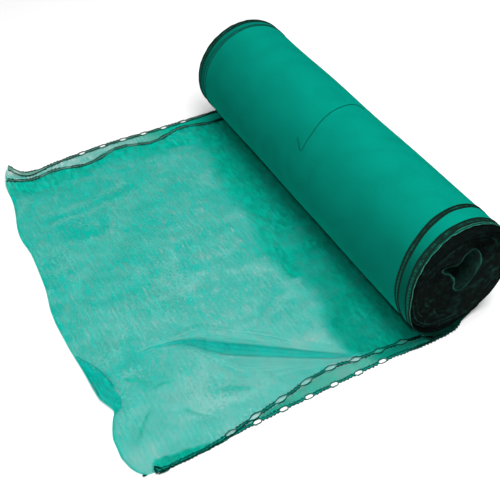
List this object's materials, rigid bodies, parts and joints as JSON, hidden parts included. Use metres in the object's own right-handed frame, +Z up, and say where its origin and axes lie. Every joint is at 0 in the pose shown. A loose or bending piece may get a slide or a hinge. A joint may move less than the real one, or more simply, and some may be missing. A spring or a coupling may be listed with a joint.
{
  "type": "roll of construction safety netting",
  "caption": "Wound roll of knitted safety netting lying on its loose end, which is drawn out double and has dark eyelet bands along its edges.",
  "frame": {"origin": "on the floor, under the middle of the roll's axis, at the underside of the loose end's lower layer", "axes": "+Z up, +Y along the roll's axis from its near end to its far end, -X the way the loose end is drawn out"},
  "size_m": [0.9517, 1.0566, 0.2961],
  "materials": {
    "net": "knitted plastic yarn, see-through in one layer",
    "band": "dense dark knitted selvedge"
  },
  "bodies": {
    "root": {"net_roll": "net", "loose_end": "net", "eyelet_band_near_lower": "band", "eyelet_band_near_upper": "band", "eyelet_band_far_lower": "band", "eyelet_band_far_upper": "band"}
  },
  "joints": []
}
